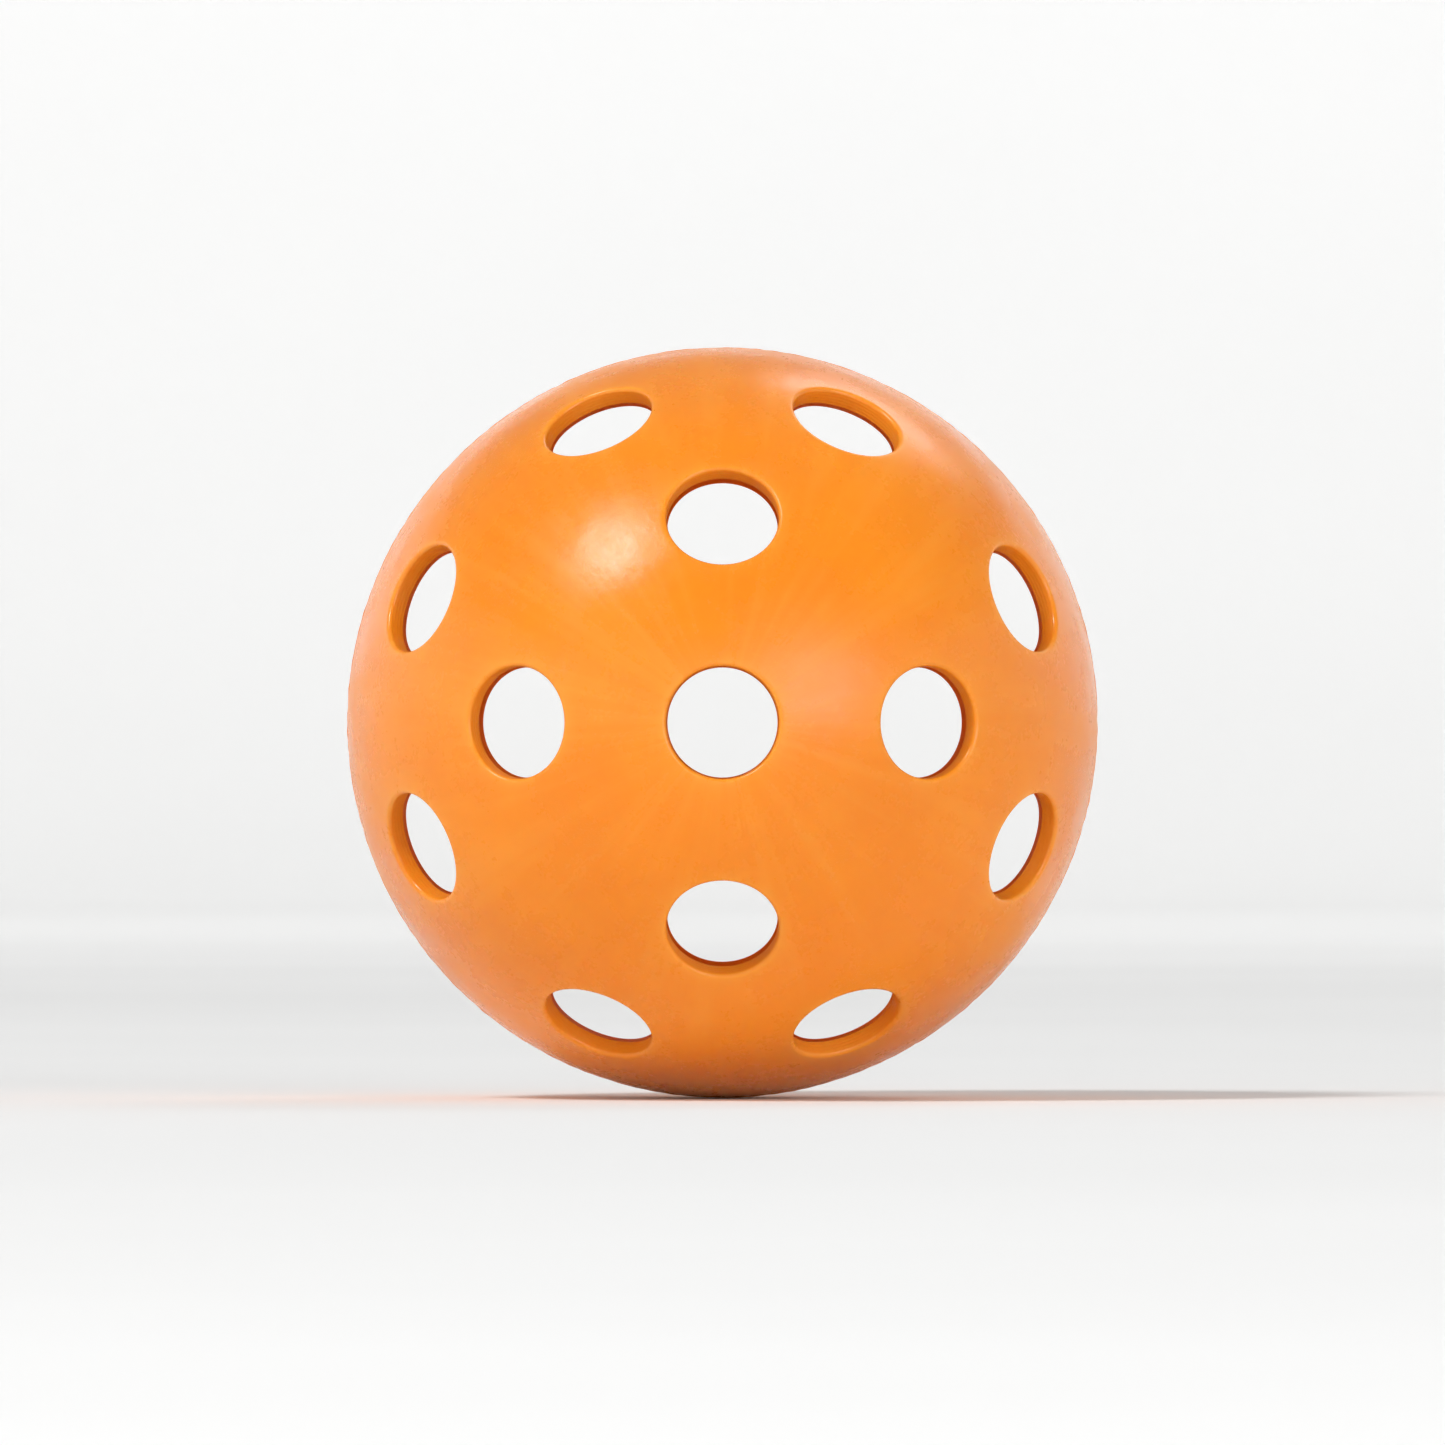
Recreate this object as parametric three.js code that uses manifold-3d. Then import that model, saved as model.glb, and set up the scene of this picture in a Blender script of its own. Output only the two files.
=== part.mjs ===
// A 26-hole indoor pickleball ball: two moulded half shells, lapped and welded at the equator.
//
// Millimetres, +Z up. The origin is the ball's centre. The pole axis lies along Y: the front pole faces -Y,
// the rear pole faces +Y, and the weld seam is the great circle in the XZ plane.

import * as THREE from "three";
import { mergeVertices } from "three/addons/utils/BufferGeometryUtils.js";
import Module from "manifold-3d";

const wasm = await Module();
wasm.setup();

// ---------------------------------------------------------------- driving dimensions

const BALL_RADIUS = 37; // 74 mm across
const WALL = 1.8;
const INNER_RADIUS = BALL_RADIUS - WALL;

const HOLE_RADIUS = 5.5; // 11 mm drilled holes, each square to the surface
const HOLE_EDGE_BREAK = 0.35; // 45 degree break where a hole meets the outside
const HOLE_RINGS = [
  // polar: degrees from the pole to the hole's centre; first: degrees from +X to the ring's first hole
  { count: 1, polar: 0, first: 0 },
  { count: 4, polar: 33.5, first: 0 },
  { count: 8, polar: 61, first: 22.5 },
];

// The lap joint: the front half's spigot enters the rear half's socket, and the weld fills what is between them.
const WELD_FILM = 0.5;
const LIP_WALL = 0.8; // the rear half's outer lip, over the spigot
const SPIGOT_WALL = 1.3;
const LAP_LENGTH = 1.5; // from the middle of the outer seam to the middle of the inner one
const LAND_HALF_WIDTH = 3; // the thicker wall on each side of the seam
const LAND_TAPER = 1.5;

const SEAM_CROWN = 0.1; // how far the trimmed outer seam stands proud
const BEAD_HEIGHT = 0.8; // the untrimmed bead inside
const BEAD_OVERHANG = 0.4;

const AROUND = 64; // segments around the pole axis
const MERIDIAN_STEPS = 14; // from pole to seam
const HOLE_SEGMENTS = 24;

// Radii of the lap joint, from outside to inside.
const LIP_INNER_RADIUS = BALL_RADIUS - LIP_WALL;
const SPIGOT_OUTER_RADIUS = LIP_INNER_RADIUS - WELD_FILM;
const LAND_RADIUS = SPIGOT_OUTER_RADIUS - SPIGOT_WALL;

// ---------------------------------------------------------------- helpers

const radiusAt = (sphereRadius, y) => Math.sqrt(sphereRadius ** 2 - y ** 2);

// Points of a sphere's meridian from the pole on the given side (-1 front, 1 rear) to the plane y.
function meridian(sphereRadius, side, y) {
  const end = Math.acos(Math.min(1, Math.max(-1, (side * y) / sphereRadius)));
  const points = [];
  for (let step = 0; step < MERIDIAN_STEPS; step++) {
    const polar = (end * step) / MERIDIAN_STEPS;
    points.push([sphereRadius * Math.sin(polar), side * sphereRadius * Math.cos(polar)]);
  }
  points.push([radiusAt(sphereRadius, y), y]);
  return points;
}

const latheOf = (points, segments) =>
  new THREE.LatheGeometry(points.map(([r, y]) => new THREE.Vector2(r, y)), segments);

function solidOf(geometry) {
  const bare = geometry.clone().deleteAttribute("normal").deleteAttribute("uv");
  const merged = mergeVertices(bare);
  return new wasm.Manifold(
    new wasm.Mesh({
      numProp: 3,
      vertProperties: merged.attributes.position.array,
      triVerts: new Uint32Array(merged.index.array),
    }),
  );
}

function geometryOf(solid) {
  const { vertProperties, triVerts } = solid.getMesh();
  const geometry = new THREE.BufferGeometry();
  geometry.setAttribute("position", new THREE.BufferAttribute(vertProperties, 3));
  geometry.setIndex(new THREE.BufferAttribute(triVerts, 1));
  geometry.computeVertexNormals();
  return geometry;
}

// ---------------------------------------------------------------- holes

// Unit vectors through the holes of one half.
function holeDirections(side) {
  return HOLE_RINGS.flatMap(({ count, polar, first }) => {
    const theta = THREE.MathUtils.degToRad(polar);
    return Array.from({ length: count }, (_, index) => {
      const phi = THREE.MathUtils.degToRad(first + (360 * index) / count);
      return new THREE.Vector3(
        Math.sin(theta) * Math.cos(phi),
        side * Math.cos(theta),
        Math.sin(theta) * Math.sin(phi),
      );
    });
  });
}

// The drill, along +Y: a straight bit, with a 45 degree flare that breaks the outer edge.
function drill() {
  const clearance = 2;
  const flareStart = radiusAt(BALL_RADIUS, HOLE_RADIUS + HOLE_EDGE_BREAK) - HOLE_EDGE_BREAK;
  const profile = [
    [0, INNER_RADIUS - clearance],
    [HOLE_RADIUS, INNER_RADIUS - clearance],
    [HOLE_RADIUS, flareStart],
    [HOLE_RADIUS + clearance, flareStart + clearance],
    [0, flareStart + clearance],
  ];
  return latheOf(profile, HOLE_SEGMENTS);
}

function drilled(geometry, side) {
  const poleAxis = new THREE.Vector3(0, 1, 0);
  const tool = drill();
  let solid = solidOf(geometry);
  for (const direction of holeDirections(side)) {
    const turn = new THREE.Quaternion().setFromUnitVectors(poleAxis, direction);
    solid = solid.subtract(solidOf(tool.clone().applyQuaternion(turn)));
  }
  return geometryOf(solid);
}

// ---------------------------------------------------------------- the three pieces

// The front half carries the spigot, which reaches past the seam plane.
function frontHalfShell() {
  const outer = meridian(BALL_RADIUS, -1, -WELD_FILM / 2);
  const rim = [
    [SPIGOT_OUTER_RADIUS, -WELD_FILM / 2],
    [SPIGOT_OUTER_RADIUS, LAP_LENGTH - WELD_FILM / 2],
    [LAND_RADIUS, LAP_LENGTH - WELD_FILM / 2],
    [LAND_RADIUS, -LAND_HALF_WIDTH],
  ];
  const inner = meridian(INNER_RADIUS, -1, -LAND_HALF_WIDTH - LAND_TAPER).reverse();
  return drilled(latheOf([...outer, ...rim, ...inner], AROUND), -1);
}

// The rear half carries the socket: a thin outer lip and a set-back inner rim.
function rearHalfShell() {
  const outer = meridian(BALL_RADIUS, 1, WELD_FILM / 2).reverse();
  const rim = [
    [LAND_RADIUS, LAND_HALF_WIDTH],
    [LAND_RADIUS, LAP_LENGTH + WELD_FILM / 2],
    [LIP_INNER_RADIUS, LAP_LENGTH + WELD_FILM / 2],
    [LIP_INNER_RADIUS, WELD_FILM / 2],
  ];
  const inner = meridian(INNER_RADIUS, 1, LAND_HALF_WIDTH + LAND_TAPER);
  return drilled(latheOf([...inner, ...rim, ...outer], AROUND), 1);
}

// The weld: an outer seam, a film around the spigot, and an inner seam with its bead.
function weldSeam() {
  const half = WELD_FILM / 2;
  const seamRadius = radiusAt(BALL_RADIUS, half);
  const innerLow = LAP_LENGTH - half;
  const innerHigh = LAP_LENGTH + half;
  const section = [
    [SPIGOT_OUTER_RADIUS, -half],
    [seamRadius, -half],
    [BALL_RADIUS + SEAM_CROWN, -half / 2],
    [BALL_RADIUS + SEAM_CROWN, half / 2],
    [seamRadius, half],
    [LIP_INNER_RADIUS, half],
    [LIP_INNER_RADIUS, innerHigh],
    [LAND_RADIUS, innerHigh],
    [LAND_RADIUS - BEAD_HEIGHT / 2, innerHigh + BEAD_OVERHANG],
    [LAND_RADIUS - BEAD_HEIGHT, innerHigh],
    [LAND_RADIUS - BEAD_HEIGHT * 0.8, LAP_LENGTH],
    [LAND_RADIUS - BEAD_HEIGHT, innerLow],
    [LAND_RADIUS - BEAD_HEIGHT / 2, innerLow - BEAD_OVERHANG],
    [LAND_RADIUS, innerLow],
    [SPIGOT_OUTER_RADIUS, innerLow],
    [SPIGOT_OUTER_RADIUS, -half],
  ];
  return geometryOf(solidOf(latheOf(section, AROUND)));
}

// ---------------------------------------------------------------- the ball

const shellPlastic = new THREE.MeshStandardMaterial({ color: "#ff911e", roughness: 0.45, metalness: 0 });
const weldPlastic = new THREE.MeshStandardMaterial({ color: "#f5861a", roughness: 0.6, metalness: 0 });

const ball = new THREE.Group();

function add(name, geometry, material) {
  const mesh = new THREE.Mesh(geometry, material);
  mesh.name = name;
  ball.add(mesh);
}

add("front_half_shell", frontHalfShell(), shellPlastic);
add("rear_half_shell", rearHalfShell(), shellPlastic);
add("weld_seam", weldSeam(), weldPlastic);

export default ball;
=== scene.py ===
"""A 26-hole indoor pickleball ball, in metres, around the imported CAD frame.

Two moulded half shells meet at a weld in the XZ plane. The pole axis lies along Y.
"""

import math

import bpy
import numpy as np
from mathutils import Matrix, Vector
from mathutils.geometry import delaunay_2d_cdt


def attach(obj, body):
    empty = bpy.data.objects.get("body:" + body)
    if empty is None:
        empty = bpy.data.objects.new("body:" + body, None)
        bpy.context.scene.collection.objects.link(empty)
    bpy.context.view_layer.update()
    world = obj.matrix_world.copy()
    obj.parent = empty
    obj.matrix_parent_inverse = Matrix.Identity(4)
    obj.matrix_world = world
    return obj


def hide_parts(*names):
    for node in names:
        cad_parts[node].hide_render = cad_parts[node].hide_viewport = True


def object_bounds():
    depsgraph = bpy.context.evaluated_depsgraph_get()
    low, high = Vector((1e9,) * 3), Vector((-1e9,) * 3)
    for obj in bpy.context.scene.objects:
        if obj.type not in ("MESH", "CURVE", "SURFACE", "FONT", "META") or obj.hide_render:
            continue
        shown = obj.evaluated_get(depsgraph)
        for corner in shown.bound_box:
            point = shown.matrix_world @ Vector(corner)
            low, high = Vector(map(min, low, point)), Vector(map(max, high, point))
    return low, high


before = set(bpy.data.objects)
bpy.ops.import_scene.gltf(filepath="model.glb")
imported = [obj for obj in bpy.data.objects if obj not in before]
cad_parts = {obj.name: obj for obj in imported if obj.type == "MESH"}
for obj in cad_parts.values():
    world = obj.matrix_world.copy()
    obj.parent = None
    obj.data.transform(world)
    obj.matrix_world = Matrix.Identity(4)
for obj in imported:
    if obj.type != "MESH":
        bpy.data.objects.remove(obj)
cad_low, cad_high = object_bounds()

MM = 0.001
rng = np.random.default_rng(26)

# ---------------------------------------------------------------- the ball's dimensions, in millimetres

BALL_R = 37.0
INNER_R = 35.2
HOLE_R = 5.5
OUTER_EDGE_ROUND = 0.38  # rounding where a hole meets the outside
INNER_EDGE_ROUND = 0.2  # and where it meets the inside
# Each ring of holes: how many, degrees from the pole, and the azimuth of the first.
HOLE_RINGS = [(1, 0.0, 0.0), (4, 33.5, 0.0), (8, 61.0, 22.5)]

# The lap joint: the front half's spigot goes into the rear half's socket, with the weld between them.
WELD_FILM = 0.5
HALF_FILM = WELD_FILM / 2
LIP_INNER_R = BALL_R - 0.8
SPIGOT_OUTER_R = LIP_INNER_R - WELD_FILM
LAND_R = SPIGOT_OUTER_R - 1.3  # the thicker wall beside the joint reaches in to here
LAP_LENGTH = 1.5
LAND_HALF_WIDTH = 3.0
LAND_TAPER = 1.5
SEAM_EDGE_ROUND = 0.22  # each shell's edge turns down into the weld line
JOINT_CHAMFER = 0.1
# How high above the seam plane the smooth inside surface ends: -1 is the front half, 1 the rear.
INNER_END_HEIGHT = {-1: 0.4, 1: HALF_FILM + LAP_LENGTH + JOINT_CHAMFER}

# The trimmed weld line outside, and the rolled bead inside. Each wanders a little around the ball.
CROWN_HEIGHT = 0.05
CROWN_TOP = 0.095
CROWN_WANDER = 0.008
CROWN_RIPPLE = 0.006
NIBS = 14  # left by the trimming blade
NIB_HEIGHT = 0.05
SEAM_DRIFT = 0.02
BEAD_SWELL = 0.42
BEAD_SWELL_WANDER = 0.045
BEAD_LEAN = 0.04

# ---------------------------------------------------------------- mesh density

HOLE_SIDES = 96
HOLE_COLLARS = [0.28, 0.36, 0.46, 0.58]  # widths of the bands of mesh around each hole
FILL_SPACING = 1.0
EQUATOR_SIDES = 384
EQUATOR_COLLARS = [0.45, 0.6]
ARC_STEPS = 7
WALL_STEPS = 3
WELD_SIDES = 768
CROWN_STEPS = 13
BEAD_STEPS = 9

# ---------------------------------------------------------------- small maths


def unit(v):
    return v / np.linalg.norm(v, axis=-1, keepdims=True)


def full_turn(sides):
    """The angles of the corners of a ring with this many sides."""
    return 2 * math.pi * np.arange(sides) / sides


def angles_between(directions, axes):
    return np.arccos(np.clip(directions @ axes.T, -1, 1))


def hole_axes():
    """Unit vectors through the 13 holes of a half whose pole is +Z."""
    out = []
    for count, polar, first in HOLE_RINGS:
        theta = math.radians(polar)
        for k in range(count):
            phi = math.radians(first) + 2 * math.pi * k / count
            out.append(
                (math.sin(theta) * math.cos(phi), math.sin(theta) * math.sin(phi), math.cos(theta))
            )
    return np.array(out)


def circle_about(axis, angles, sides):
    """Rings of unit vectors at the given angles from an axis: an array of rings x sides x 3."""
    helper = np.array((0.0, 0.0, 1.0)) if abs(axis[2]) < 0.9 else np.array((1.0, 0.0, 0.0))
    u = unit(np.cross(helper, axis))
    v = np.cross(axis, u)
    turn = full_turn(sides)
    around = np.cos(turn)[:, None] * u + np.sin(turn)[:, None] * v
    angles = np.asarray(angles)[:, None, None]
    return np.cos(angles) * axis + np.sin(angles) * around[None]


def fibonacci_directions(spacing):
    """Evenly spread unit vectors, about spacing apart on the ball's surface."""
    area_each = 0.866 * spacing**2  # in a grid of equal-sided triangles
    count = int(4 * math.pi * BALL_R**2 / area_each)
    k = np.arange(count) + 0.5
    z = 1 - 2 * k / count
    turn = k * math.pi * (3 - math.sqrt(5))
    r = np.sqrt(1 - z * z)
    return np.stack([r * np.cos(turn), r * np.sin(turn), z], axis=1)


# ---------------------------------------------------------------- profiles


def hole_profile():
    """(distance from the hole's axis, height along it), from the outside over both edges to the inside."""
    points = []
    rounding = OUTER_EDGE_ROUND
    across = HOLE_R + rounding
    centre = np.array((across, math.sqrt((BALL_R - rounding) ** 2 - across**2)))
    start = math.atan2(centre[1], centre[0])
    for angle in np.linspace(start, math.pi, ARC_STEPS):
        points.append(centre + rounding * np.array((math.cos(angle), math.sin(angle))))
    top = centre[1]

    rounding = INNER_EDGE_ROUND
    across = HOLE_R + rounding
    centre = np.array((across, math.sqrt((INNER_R + rounding) ** 2 - across**2)))
    for height in np.linspace(top, centre[1], WALL_STEPS + 2)[1:-1]:
        points.append(np.array((HOLE_R, height)))
    end = math.atan2(centre[1], centre[0]) + math.pi
    for angle in np.linspace(math.pi, end, ARC_STEPS - 2):
        points.append(centre + rounding * np.array((math.cos(angle), math.sin(angle))))
    return np.array(points)


def rim_profile(side):
    """(radius, height above the seam plane), from the outer edge across the joint to the inner land."""
    edge_r = math.sqrt(BALL_R**2 - (HALF_FILM + SEAM_EDGE_ROUND) ** 2)
    corner = []
    for degrees in (25, 50, 75, 90):
        angle = math.radians(degrees)
        inward = SEAM_EDGE_ROUND * (1 - math.cos(angle))
        upward = SEAM_EDGE_ROUND * (1 - math.sin(angle))
        corner.append((edge_r - inward, HALF_FILM + upward))
    if side < 0:
        spigot_end = HALF_FILM - LAP_LENGTH
        return corner + [
            (SPIGOT_OUTER_R, HALF_FILM),
            (SPIGOT_OUTER_R, spigot_end + JOINT_CHAMFER),
            (SPIGOT_OUTER_R - JOINT_CHAMFER, spigot_end),
            (LAND_R + JOINT_CHAMFER, spigot_end),
            (LAND_R, spigot_end + JOINT_CHAMFER),
            (LAND_R, -0.6),
            (LAND_R, -0.1),
        ]
    return corner + [
        (LIP_INNER_R, HALF_FILM),
        (LIP_INNER_R, HALF_FILM + LAP_LENGTH),
        (LAND_R + JOINT_CHAMFER, HALF_FILM + LAP_LENGTH),
    ]


def equator_polar():
    """The angle from the pole at which the outer surface ends, where its edge starts to turn down."""
    return math.acos((HALF_FILM + SEAM_EDGE_ROUND) / BALL_R)


def inner_distance(polar_cos):
    """How far from the centre the inside surface is, for directions at these cosines from the pole."""
    sin = np.sqrt(1 - polar_cos**2)
    land = LAND_R / np.maximum(sin, 1e-6)
    height = INNER_R * polar_cos
    blend = np.clip((height - LAND_HALF_WIDTH) / LAND_TAPER, 0, 1)
    blend = blend * blend * (3 - 2 * blend)
    return land * (1 - blend) + INNER_R * blend


def drawn_back(directions, end_height):
    """Moves the directions near the equator, so that the last ring meets the inside land at end_height."""
    polar = np.arccos(np.clip(directions[:, 2], -1, 1))
    start, end = math.radians(80), equator_polar()
    new_end = math.atan2(LAND_R, end_height)
    stretched = start + (polar - start) * (new_end - start) / (end - start)
    moved = np.where(polar > start, stretched, polar)
    turn = np.arctan2(directions[:, 1], directions[:, 0])
    return np.stack([np.sin(moved) * np.cos(turn), np.sin(moved) * np.sin(turn), np.cos(moved)], axis=1)


# ---------------------------------------------------------------- meshes


class Points:
    """Grows a vertex list and a face list. Each vertex is marked: near a hole's edge, and on its wall."""

    def __init__(self):
        self.co, self.rim, self.wall, self.faces, self.count = [], [], [], [], 0

    def add(self, co, rim=0.0, wall=0.0):
        co = np.asarray(co, float).reshape(-1, 3)
        first = self.count
        self.co.append(co)
        self.rim.append(np.broadcast_to(rim, (len(co),)).astype(float))
        self.wall.append(np.broadcast_to(wall, (len(co),)).astype(float))
        self.count += len(co)
        return np.arange(first, self.count)

    def marks(self):
        return {"rim": np.concatenate(self.rim), "wall": np.concatenate(self.wall)}

    def strip(self, ring_a, ring_b):
        """Quads between two closed rings of the same length."""
        for k in range(len(ring_a)):
            m = (k + 1) % len(ring_a)
            self.faces.append((ring_a[k], ring_b[k], ring_b[m], ring_a[m]))


def link_mesh(name, co, faces):
    """A smooth-shaded mesh object in the scene."""
    mesh = bpy.data.meshes.new(name)
    mesh.from_pydata(co, [], faces)
    mesh.validate()
    mesh.polygons.foreach_set("use_smooth", [True] * len(mesh.polygons))
    mesh.update()
    obj = bpy.data.objects.new(name, mesh)
    bpy.context.scene.collection.objects.link(obj)
    return obj


def make_piece(name, co, faces, marks):
    """A piece of the ball, from coordinates in metres, with its marks as mesh attributes."""
    obj = link_mesh(name, co.tolist(), [tuple(int(i) for i in face) for face in faces])
    for key, value in marks.items():
        layer = obj.data.attributes.new(key, "FLOAT", "POINT")
        layer.data.foreach_set("value", value.astype(np.float32))
    return obj


# ---------------------------------------------------------------- the half shells


class Layout:
    """The directions of one surface of a half whose pole is +Z, its triangles, and the rings among them.

    owner is a hole's number for the rings around it, and EQUATOR for the rings beside the seam.
    ring counts outwards from the hole's mouth, or upwards from the seam.
    """

    EQUATOR = -2
    FILL = -1

    def __init__(self):
        self.axes = hole_axes()
        self.profile = hole_profile()
        mouth = math.atan2(*self.profile[0])
        self.collar_angles = mouth + np.concatenate([[0], np.cumsum(HOLE_COLLARS)]) / BALL_R
        self.collar_polars = equator_polar() - np.concatenate([[0], np.cumsum(EQUATOR_COLLARS)]) / BALL_R
        self.place_points()
        self.make_triangles()

    def place_points(self):
        directions, owner, ring = [], [], []
        for index, axis in enumerate(self.axes):
            directions.append(circle_about(axis, self.collar_angles, HOLE_SIDES).reshape(-1, 3))
            owner += [index] * (len(self.collar_angles) * HOLE_SIDES)
            ring += list(np.repeat(np.arange(len(self.collar_angles)), HOLE_SIDES))
        turn = full_turn(EQUATOR_SIDES)
        for number, polar in enumerate(self.collar_polars):
            height = np.full(EQUATOR_SIDES, math.cos(polar))
            directions.append(
                np.stack([math.sin(polar) * np.cos(turn), math.sin(polar) * np.sin(turn), height], axis=1)
            )
            owner += [self.EQUATOR] * EQUATOR_SIDES
            ring += [number] * EQUATOR_SIDES
        fill = self.fill_directions()
        directions.append(fill)
        owner += [self.FILL] * len(fill)
        ring += [-1] * len(fill)
        self.directions = np.concatenate(directions)
        self.owner, self.ring = np.array(owner), np.array(ring)

    def fill_directions(self):
        """Evenly spread directions in what the rings leave free."""
        fill = fibonacci_directions(FILL_SPACING)
        gap = 0.6 * FILL_SPACING / BALL_R
        fill = fill[fill[:, 2] > math.cos(self.collar_polars[-1] - gap)]
        return fill[angles_between(fill, self.axes).min(axis=1) > self.collar_angles[-1] + gap]

    def make_triangles(self):
        # A stereographic map keeps circles as circles, so a flat Delaunay mesh is the sphere's own.
        flat = self.directions[:, :2] / (1 + self.directions[:, 2:3])
        result = delaunay_2d_cdt([Vector(p) for p in flat.tolist()], [], [], 0, 1e-9)
        triangles, originals = result[2], result[3]
        back = np.array([o[0] for o in originals])
        triangles = back[np.array(triangles)]
        mouth = np.where((self.owner >= 0) & (self.ring == 0), self.owner, -1)[triangles]
        in_hole = (mouth >= 0).all(axis=1) & (mouth == mouth[:, :1]).all(axis=1)
        self.triangles = triangles[~in_hole]

    def innermost(self, owner):
        """The numbers of the points on a hole's mouth, or on the last ring beside the seam."""
        return np.where((self.owner == owner) & (self.ring == 0))[0]


LAYOUT = Layout()


def outer_surface(p):
    """The outside, marked more strongly towards each hole's edge. Returns its vertex numbers."""
    nearest = angles_between(LAYOUT.directions, LAYOUT.axes).min(axis=1)
    from_mouth = np.maximum(nearest - LAYOUT.collar_angles[0], 0) * BALL_R
    fade = 0.7
    return p.add(LAYOUT.directions * BALL_R, np.exp(-from_mouth / fade))


def inner_surface(p, side):
    """The inside, with its rings drawn to the inner mouths. Returns its vertex numbers."""
    directions = LAYOUT.directions.copy()
    mouth = math.atan2(*LAYOUT.profile[-1])
    rings = mouth + (LAYOUT.collar_angles - LAYOUT.collar_angles[0])
    for index, axis in enumerate(LAYOUT.axes):
        directions[LAYOUT.owner == index] = circle_about(axis, rings, HOLE_SIDES).reshape(-1, 3)
    directions = drawn_back(directions, INNER_END_HEIGHT[side])
    return p.add(directions * inner_distance(directions[:, 2])[:, None])


def hole_walls(p, outer, inner):
    """Rings down each hole's profile, between the mouths of the two surfaces."""
    for index, axis in enumerate(LAYOUT.axes):
        mouth = LAYOUT.innermost(index)
        around = circle_about(axis, [math.pi / 2], HOLE_SIDES)[0]
        previous = outer[mouth]
        for step, (radius, height) in enumerate(LAYOUT.profile[1:-1]):
            on_wall = step >= ARC_STEPS - 2
            rim, wall = (0.2, 1.0) if on_wall else (1.0, 0.0)
            ring = p.add(axis * height + around * radius, rim, wall)
            p.strip(ring, previous)
            previous = ring
        p.strip(inner[mouth], previous)


def seam_rim(p, outer, inner, side):
    """The rim at the weld, turned around the pole."""
    turn = full_turn(EQUATOR_SIDES)
    on_equator = LAYOUT.innermost(Layout.EQUATOR)
    previous = outer[on_equator]
    for radius, height in rim_profile(side):
        level = np.full(EQUATOR_SIDES, height)
        ring = p.add(np.stack([radius * np.cos(turn), radius * np.sin(turn), level], axis=1))
        p.strip(previous, ring)
        previous = ring
    p.strip(previous, inner[on_equator])


def half_shell(name, side):
    """side is -1 for the front half, which has the spigot, and 1 for the rear half, which has the socket."""
    p = Points()
    outer = outer_surface(p)
    inner = inner_surface(p, side)
    p.faces += [tuple(t) for t in outer[LAYOUT.triangles]]
    p.faces += [tuple(t[::-1]) for t in inner[LAYOUT.triangles]]
    hole_walls(p, outer, inner)
    seam_rim(p, outer, inner, side)

    # The half's own +Z is its pole: it becomes -Y for the front half and +Y for the rear.
    local = np.concatenate(p.co)
    co = np.stack([local[:, 0], side * local[:, 2], local[:, 1]], axis=1) * MM
    faces = p.faces if side < 0 else [face[::-1] for face in p.faces]
    return make_piece(name, co, faces, p.marks())


# ---------------------------------------------------------------- the weld


def wander(turn, waves, size):
    """A smooth closed random curve around the seam, with about this standard deviation."""
    out = np.zeros_like(turn)
    for k in waves:
        out += rng.normal() * np.cos(k * turn + rng.uniform(0, 2 * math.pi))
    return out * size / math.sqrt(len(waves) / 2)


def crown_heights(turn):
    """How far the trimmed weld line stands proud of the ball, around the seam."""
    slow = wander(turn, range(3, 60, 4), CROWN_WANDER)
    ripple = wander(turn, range(90, 180, 11), CROWN_RIPPLE)
    crown = np.clip(CROWN_HEIGHT + slow + ripple, -0.02, CROWN_TOP)
    for _ in range(NIBS):
        at, width = rng.uniform(0, 2 * math.pi), rng.uniform(0.004, 0.014)
        away = np.angle(np.exp(1j * (turn - at)))
        nib = rng.uniform(-NIB_HEIGHT, NIB_HEIGHT) * np.exp(-((away / width) ** 2))
        crown = np.clip(crown + nib, -0.03, CROWN_TOP)
    return crown


def crown_section(turn):
    """The arched outer line: rings from the front half's edge to the rear half's."""
    crown = crown_heights(turn)
    drift = wander(turn, range(2, 24, 3), SEAM_DRIFT)
    edge_r = math.sqrt(BALL_R**2 - (HALF_FILM + SEAM_EDGE_ROUND) ** 2) - SEAM_EDGE_ROUND
    rings = []
    for across in np.linspace(-1, 1, CROWN_STEPS):
        arch = (1 - abs(across) ** 2.4) ** 0.6
        radius = edge_r + (BALL_R + crown - edge_r) * arch
        rings.append((radius, across * HALF_FILM + drift * (1 - across * across)))
    return rings


def bead_section(turn, middle, first, last):
    """One lobe of the rolled inner bead, between two angles in degrees."""
    swell = BEAD_SWELL + wander(turn, range(4, 70, 5), BEAD_SWELL_WANDER)
    lean = wander(turn, range(3, 40, 4), BEAD_LEAN)
    rings = []
    for angle in np.radians(np.linspace(first, last, BEAD_STEPS)):
        radius = LAND_R - swell * (0.85 + np.cos(angle)) * 0.62
        rings.append((radius, middle + lean + swell * np.sin(angle)))
    return rings


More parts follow.
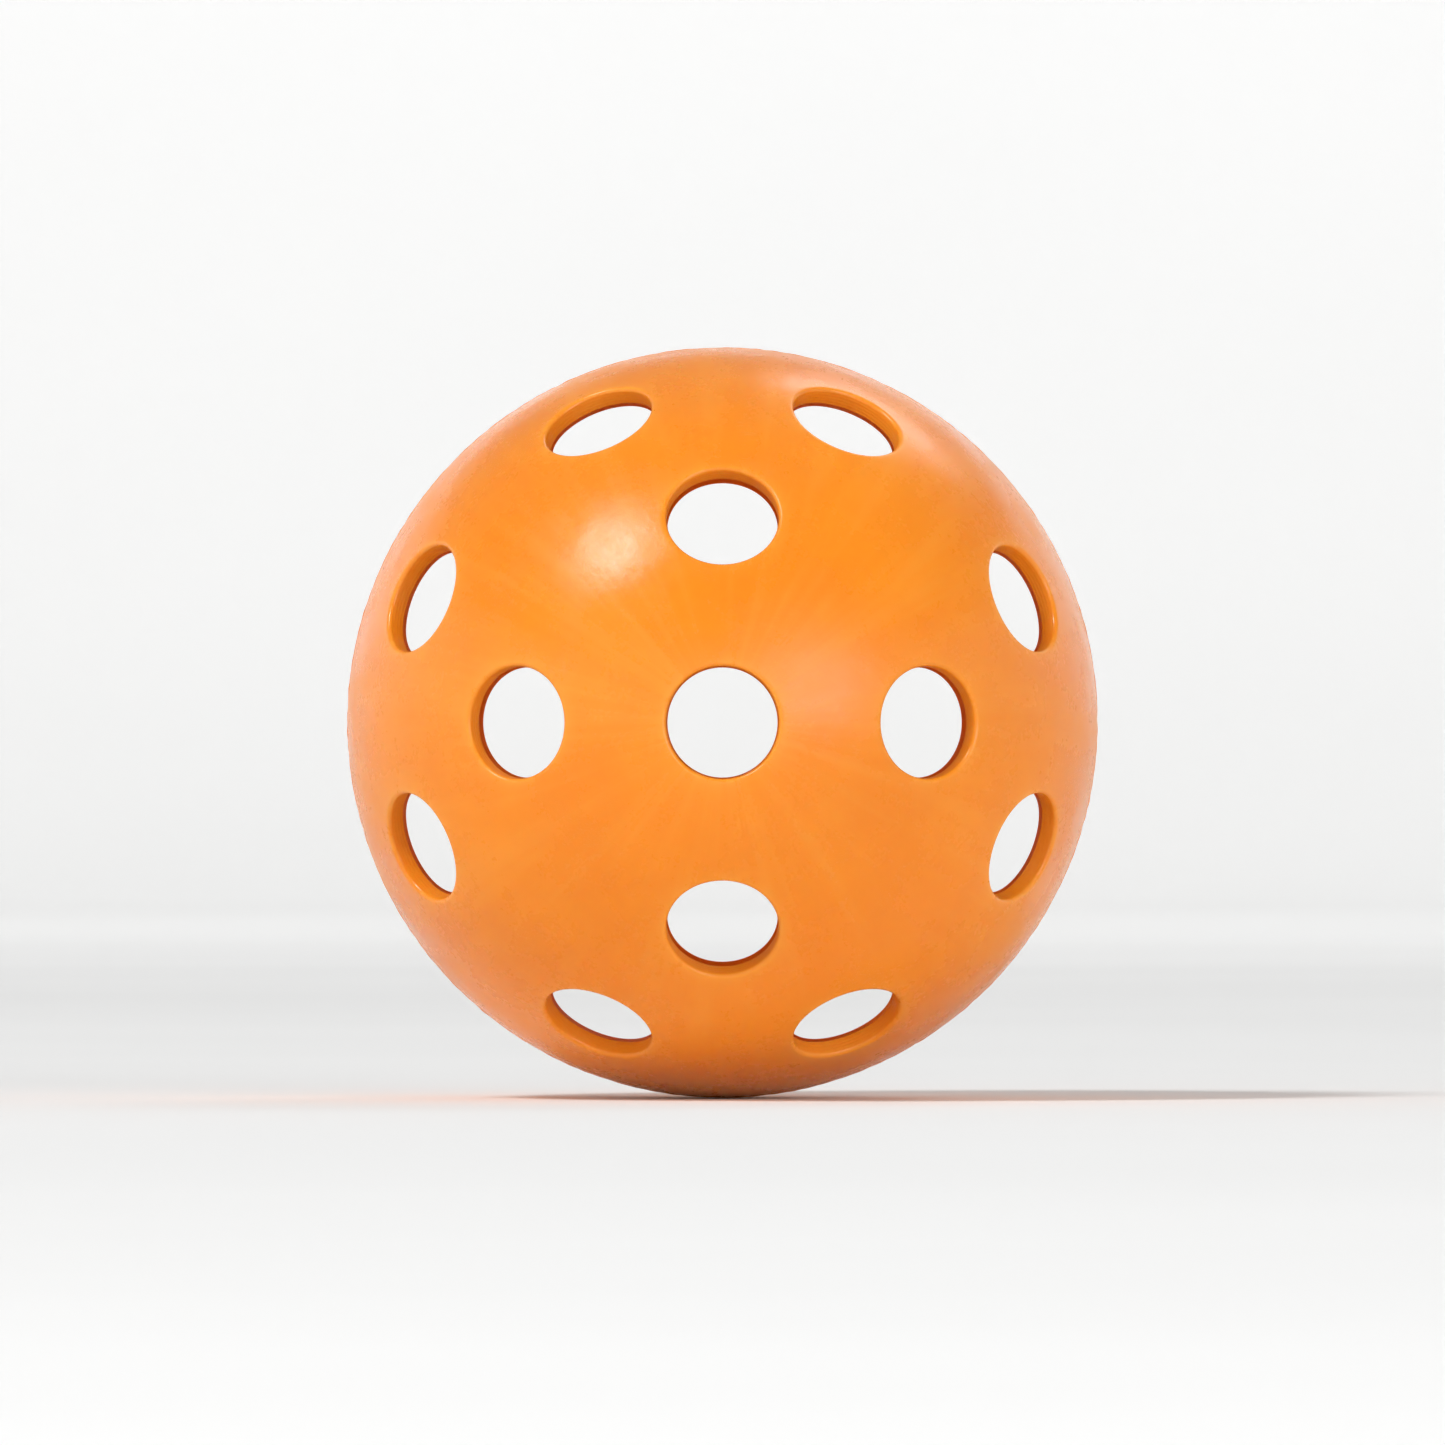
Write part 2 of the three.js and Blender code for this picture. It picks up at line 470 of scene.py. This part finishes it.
def weld_seam(name):
    """The set plastic in the joint: a trimmed line outside, a film around the spigot and a bead inside."""
    turn = full_turn(WELD_SIDES)
    low, high = LAP_LENGTH - HALF_FILM, LAP_LENGTH + HALF_FILM

    def plain(radius, y):
        return np.full(WELD_SIDES, radius), np.full(WELD_SIDES, y)

    section = [plain(SPIGOT_OUTER_R, -HALF_FILM)]
    section += crown_section(turn)
    section += [plain(LIP_INNER_R, HALF_FILM), plain(LIP_INNER_R, high)]
    section += [plain(LAND_R + JOINT_CHAMFER, high)]
    section += bead_section(turn, high, 80, -60)
    section += bead_section(turn, low, 60, -80)
    section += [plain(LAND_R + JOINT_CHAMFER, low), plain(SPIGOT_OUTER_R, low)]

    p = Points()
    worn = 0.5
    rings = []
    for radius, y in section:
        rings.append(p.add(np.stack([radius * np.cos(turn), y, radius * np.sin(turn)], axis=1), worn))
    for a, b in zip(rings, rings[1:] + rings[:1]):
        p.strip(a, b)
    return make_piece(name, np.concatenate(p.co) * MM, p.faces, p.marks())


# ---------------------------------------------------------------- materials


class Graph:
    """Short names for the nodes that the materials use."""

    def __init__(self, material):
        material.use_nodes = True
        self.nodes, self.links = material.node_tree.nodes, material.node_tree.links
        self.nodes.clear()

    def add(self, kind, settings=None, **inputs):
        node = self.nodes.new("ShaderNode" + kind)
        for key, value in (settings or {}).items():
            setattr(node, key, value)
        for key, value in inputs.items():
            self.put(node, key.replace("_", " "), value)
        return node

    def put(self, node, key, value):
        """key is a socket's name, or i and its number."""
        socket = node.inputs[int(key[1:])] if key[0] == "i" and key[1:].isdigit() else node.inputs[key]
        if isinstance(value, bpy.types.NodeSocket):
            self.links.new(value, socket)
        else:
            socket.default_value = value

    def math(self, operation, a, b=0.0):
        return self.add("Math", {"operation": operation}, i0=a, i1=b).outputs[0]

    def vector(self, operation, a, b):
        return self.add("VectorMath", {"operation": operation}, i0=a, i1=b).outputs[0]

    def length(self, vector):
        return self.add("VectorMath", {"operation": "LENGTH"}, i0=vector).outputs["Value"]

    def here(self):
        """The point's place on the object, in metres."""
        return self.add("TexCoord").outputs["Object"]

    def mark(self, name):
        return self.add("Attribute", {"attribute_name": name}).outputs["Fac"]

    def span(self, value, low, high, to_low=0.0, to_high=1.0):
        """Maps low..high smoothly to to_low..to_high."""
        node = self.add("MapRange", {"interpolation_type": "SMOOTHSTEP"})
        for k, item in enumerate((value, low, high, to_low, to_high)):
            self.put(node, f"i{k}", item)
        return node.outputs[0]

    def noise(self, vector, scale, detail=2.0, roughness=0.5):
        node = self.add("TexNoise", Vector=vector, Scale=scale, Detail=detail, Roughness=roughness)
        return node.outputs["Fac"]

    def mix(self, factor, a, b):
        return self.add("Mix", {"data_type": "RGBA"}, i0=factor, i6=a, i7=b).outputs[2]

    def added(self, value, pattern, amount):
        """value, plus amount times the pattern."""
        return self.math("ADD", value, self.math("MULTIPLY", pattern, amount))

    def bump(self, height, depth, strength, under=None, inverted=False):
        """A bump this many millimetres deep, on top of the normal under it."""
        node = self.add("Bump", {"invert": inverted}, Strength=strength, Distance=depth * MM, Height=height)
        if under is not None:
            self.put(node, "Normal", under)
        return node.outputs[0]

    def scratches(self, vector, turn, stretch, width, spread):
        """Fine short lines: the thin contours of a stretched noise, broken up by another noise."""
        turned = self.add("Mapping", Vector=vector, Rotation=turn, Scale=stretch).outputs[0]
        band = self.math("ABSOLUTE", self.math("SUBTRACT", self.noise(turned, 1.0, 1.5), 0.5))
        line = self.span(band, 0.0, width, 1.0, 0.0)
        patch = self.span(self.noise(vector, spread, 1.0), 0.54, 0.66)
        return self.math("MULTIPLY", line, patch)


def flow_streaks(g, mm, y):
    """Faint streaks from each pole to the seam, as the melt ran. The pole's hole has cut its gate away."""
    flat = g.vector("MULTIPLY", mm, (1.0, 0.0, 1.0))
    around = g.add("VectorMath", {"operation": "NORMALIZE"}, i0=flat).outputs[0]
    along = g.vector("MULTIPLY", mm, (0.02, 0.05, 0.02))
    half = g.add("CombineXYZ", i1=g.math("MULTIPLY", g.math("SIGN", y), 6.0)).outputs[0]
    place = g.vector("ADD", g.vector("MULTIPLY", around, (8.0, 8.0, 8.0)), g.vector("ADD", along, half))
    return g.noise(place, 1.0, 4.0, 0.6)


class Patterns:
    """What the plastic's colour, gloss and bumps are made from. Scales are in features per millimetre."""

    def __init__(self, g, welded):
        mm = g.vector("MULTIPLY", g.here(), (1 / MM, 1 / MM, 1 / MM))
        y = g.add("SeparateXYZ", Vector=mm).outputs[1]
        self.mm = mm
        self.from_seam = g.math("ABSOLUTE", y)
        self.from_centre = g.length(mm)
        self.rim = g.mark("rim")
        self.wall = g.mark("wall")
        in_hollow = g.span(self.from_centre, 35.9, 35.3, 0.0, 1.0)
        self.inside = g.math("MULTIPLY", in_hollow, g.math("SUBTRACT", 1.0, self.wall))

        self.tone = g.noise(mm, 0.07, 3.0, 0.55)
        self.smudge = g.noise(mm, 0.16, 4.0, 0.6)
        self.peel = g.noise(mm, 0.42, 2.0, 0.4)
        self.skin = g.noise(mm, 1.5, 3.0, 0.55)
        self.speckle = g.noise(mm, 2.6, 3.0, 0.6)
        self.grain = g.noise(mm, 5.5, 2.0, 0.6)
        self.flow = g.noise(mm, 0.6, 3.0) if welded else flow_streaks(g, mm, y)

        one_way = g.scratches(mm, (0.3, 0.9, 0.2), (0.12, 2.6, 2.6), 0.010, 0.11)
        other_way = g.scratches(mm, (1.2, 0.1, 2.1), (3.1, 0.16, 3.1), 0.008, 0.13)
        outside = g.math("SUBTRACT", 1.0, self.inside)
        self.scuffs = g.math("MULTIPLY", g.math("MAXIMUM", one_way, other_way), outside)


def plastic_colour(g, marks, colour, deep, pale):
    base = g.mix(g.span(marks.tone, 0.3, 0.7), colour, deep)
    base = g.mix(g.span(marks.flow, 0.45, 0.7, 0.0, 0.2), base, pale)
    base = g.mix(g.span(marks.flow, 0.5, 0.3, 0.0, 0.35), base, deep)
    base = g.mix(g.span(marks.speckle, 0.55, 0.8, 0.0, 0.08), base, deep)
    worn_edge = g.math("MULTIPLY", marks.rim, g.span(marks.smudge, 0.35, 0.65, 0.15, 0.5))
    base = g.mix(worn_edge, base, pale)
    base = g.mix(g.math("MULTIPLY", marks.scuffs, 0.35), base, pale)
    drilled = g.math("MULTIPLY", marks.wall, g.span(marks.speckle, 0.3, 0.7, 0.1, 0.3))
    base = g.mix(drilled, base, pale)
    # Darker orange in patches within 0.7 mm of the seam plane, over the weld line and the grooves on each
    # side of it.
    beside_seam = g.span(marks.from_seam, 0.7, 0.2)
    darker_by_seam = g.math("MULTIPLY", beside_seam, g.span(marks.smudge, 0.4, 0.65, 0.1, 0.45))
    return g.mix(darker_by_seam, base, deep)


def plastic_roughness(g, marks, satin):
    rough = g.span(marks.smudge, 0.3, 0.7, satin - 0.05, satin + 0.07)
    rough = g.added(rough, g.math("SUBTRACT", marks.speckle, 0.5), 0.1)
    rough = g.added(rough, g.math("SUBTRACT", marks.flow, 0.5), 0.16)
    rough = g.added(rough, marks.scuffs, 0.2)
    return g.added(rough, g.math("MAXIMUM", marks.inside, marks.wall), 0.14)


def plastic_normal(g, marks, welded):
    normal = g.bump(marks.peel, 0.05, 0.6)
    normal = g.bump(marks.skin, 0.016, 0.6, normal)
    normal = g.bump(marks.grain, 0.012, 0.55, normal)
    normal = g.bump(marks.scuffs, 0.015, 0.4, normal, inverted=True)
    normal = g.bump(marks.flow, 0.03, 0.5, normal)
    # Turning marks left by the drill, around each hole's wall.
    wavering = g.added(g.math("MULTIPLY", marks.from_centre, 19.0), marks.speckle, 5.0)
    turns = g.math("MULTIPLY", g.math("MULTIPLY", g.math("SINE", wavering), marks.wall), 0.5)
    normal = g.bump(turns, 0.025, 0.6, normal)
    if welded:
        ripple = g.noise(marks.mm, 1.7, 3.0, 0.65)
        normal = g.bump(ripple, 0.05, 0.6, normal)
    return normal


def plastic(name, colour, deep, pale, satin, welded=False):
    """Satin moulded polyethylene, a little translucent."""
    material = bpy.data.materials.new(name)
    g = Graph(material)
    marks = Patterns(g, welded)
    shader = g.add("BsdfPrincipled")
    g.put(shader, "Base Color", plastic_colour(g, marks, colour, deep, pale))
    g.put(shader, "Roughness", plastic_roughness(g, marks, satin))
    g.put(shader, "Normal", plastic_normal(g, marks, welded))
    shader.inputs["IOR"].default_value = 1.51
    shader.inputs["Specular IOR Level"].default_value = 0.42
    shader.inputs["Subsurface Weight"].default_value = 0.3
    shader.inputs["Subsurface Radius"].default_value = (1.0, 0.38, 0.12)
    shader.inputs["Subsurface Scale"].default_value = 1.1 * MM
    g.links.new(shader.outputs[0], g.add("OutputMaterial").inputs["Surface"])
    return material


ORANGE = (0.91, 0.268, 0.004, 1)
DEEP_ORANGE = (0.87, 0.236, 0.003, 1)
PALE_ORANGE = (0.93, 0.36, 0.035, 1)
WELD_ORANGE = (0.88, 0.22, 0.006, 1)
DEEP_WELD_ORANGE = (0.74, 0.165, 0.004, 1)

shell_plastic = plastic("shell_polyethylene", ORANGE, DEEP_ORANGE, PALE_ORANGE, satin=0.27)
weld_plastic = plastic(
    "weld_polyethylene", WELD_ORANGE, DEEP_WELD_ORANGE, PALE_ORANGE, satin=0.46, welded=True
)

# ---------------------------------------------------------------- the pieces

front = half_shell("front_half", -1)
rear = half_shell("rear_half", 1)
weld = weld_seam("weld_line")
for piece, node, slot, material in (
    (front, "front_half_shell", "shell", shell_plastic),
    (rear, "rear_half_shell", "shell", shell_plastic),
    (weld, "weld_seam", "weld", weld_plastic),
):
    piece.data.materials.append(material)
    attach(piece, "root")
    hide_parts(node)

# ---------------------------------------------------------------- floor, lights and camera, in metres

FLOOR_FLAT_R = 3.2
FLOOR_BEND_R = 1.0
WALL_TOP = 1.8
FLOOR_SIDES = 96


def pale_floor():
    material = bpy.data.materials.new("pale_floor")
    g = Graph(material)
    here = g.here()
    mottle = g.noise(here, 3.0, 2.0)
    pale, paler = (0.86, 0.86, 0.855, 1), (0.88, 0.88, 0.875, 1)
    shader = g.add("BsdfPrincipled")
    g.put(shader, "Base Color", g.mix(g.span(mottle, 0.3, 0.7), pale, paler))
    g.put(shader, "Roughness", g.span(mottle, 0.3, 0.7, 0.82, 0.9))
    shader.inputs["Specular IOR Level"].default_value = 0.0
    # The far floor and the wall glow a little, as a lit backdrop does, to stay as pale as the near floor.
    from_middle = g.length(here)
    far_floor = g.span(from_middle, 1.0, 2.5, 0.0, 0.18)
    wall = g.span(from_middle, 3.0, 4.4, 0.0, 0.16)
    shader.inputs["Emission Color"].default_value = (1.0, 1.0, 1.0, 1)
    g.put(shader, "Emission Strength", g.math("ADD", far_floor, wall))
    g.links.new(shader.outputs[0], g.add("OutputMaterial").inputs["Surface"])
    return material


def studio_floor(height):
    """A round seamless floor that curves up into a wall, so every view has the same plain background."""
    profile = [(r, height) for r in np.linspace(0.4, FLOOR_FLAT_R, 5)]
    for angle in np.radians(np.linspace(6, 90, 15)):
        rise = FLOOR_BEND_R * (1 - math.cos(angle))
        profile.append((FLOOR_FLAT_R + FLOOR_BEND_R * math.sin(angle), height + rise))
    profile.append((FLOOR_FLAT_R + FLOOR_BEND_R, height + WALL_TOP))
    co = [(0.0, 0.0, height)]
    for r, z in profile:
        co += [(r * math.cos(t), r * math.sin(t), z) for t in full_turn(FLOOR_SIDES)]
    faces = []
    for k in range(FLOOR_SIDES):
        faces.append((0, 1 + k, 1 + (k + 1) % FLOOR_SIDES))
    for row in range(len(profile) - 1):
        a = 1 + row * FLOOR_SIDES
        b = a + FLOOR_SIDES
        for k in range(FLOOR_SIDES):
            m = (k + 1) % FLOOR_SIDES
            faces.append((a + k, b + k, b + m, a + m))
    obj = link_mesh("studio_floor", co, faces)
    obj.data.materials.append(pale_floor())
    return obj


def softbox(name, place, size, power):
    """A rectangular area light that faces the ball."""
    light = bpy.data.lights.new(name, "AREA")
    light.shape = "RECTANGLE"
    light.size, light.size_y = size
    light.energy = power
    obj = bpy.data.objects.new(name, light)
    obj.location = place
    obj.rotation_euler = (-Vector(place)).to_track_quat("-Z", "Y").to_euler()
    bpy.context.scene.collection.objects.link(obj)


studio_floor(cad_low.z)

softbox("key", place=(-1.9, -1.6, 3.1), size=(0.9, 0.9), power=78)
softbox("fill", place=(1.5, -2.7, 0.6), size=(1.6, 1.0), power=24)
softbox("back", place=(0.9, 1.9, 1.9), size=(1.2, 0.9), power=9)

world = bpy.data.worlds.new("studio")
bpy.context.scene.world = world
world.use_nodes = True
background = world.node_tree.nodes["Background"]
background.inputs["Color"].default_value = (1.0, 1.0, 1.0, 1)
background.inputs["Strength"].default_value = 0.36

# The camera looks along the pole axis, level with the ball's centre. It is far enough away that each
# far hole lines up with a near one.
LENS, SENSOR = 700.0, 36.0
BALL_SHARE = 0.52  # the ball's width as a share of the frame's

radius = (cad_high.x - cad_low.x) / 2
distance = radius * math.sqrt(1 + (2 * LENS / (SENSOR * BALL_SHARE)) ** 2)
camera_data = bpy.data.cameras.new("camera")
camera_data.lens, camera_data.sensor_width = LENS, SENSOR
camera_data.clip_start, camera_data.clip_end = 0.1, 20
camera = bpy.data.objects.new("camera", camera_data)
camera.location = (0, -distance, 0)
camera.rotation_euler = (math.pi / 2, 0, 0)
bpy.context.scene.collection.objects.link(camera)
bpy.context.scene.camera = camera

bpy.context.scene.view_settings.view_transform = "Standard"
bpy.context.scene.view_settings.look = "None"
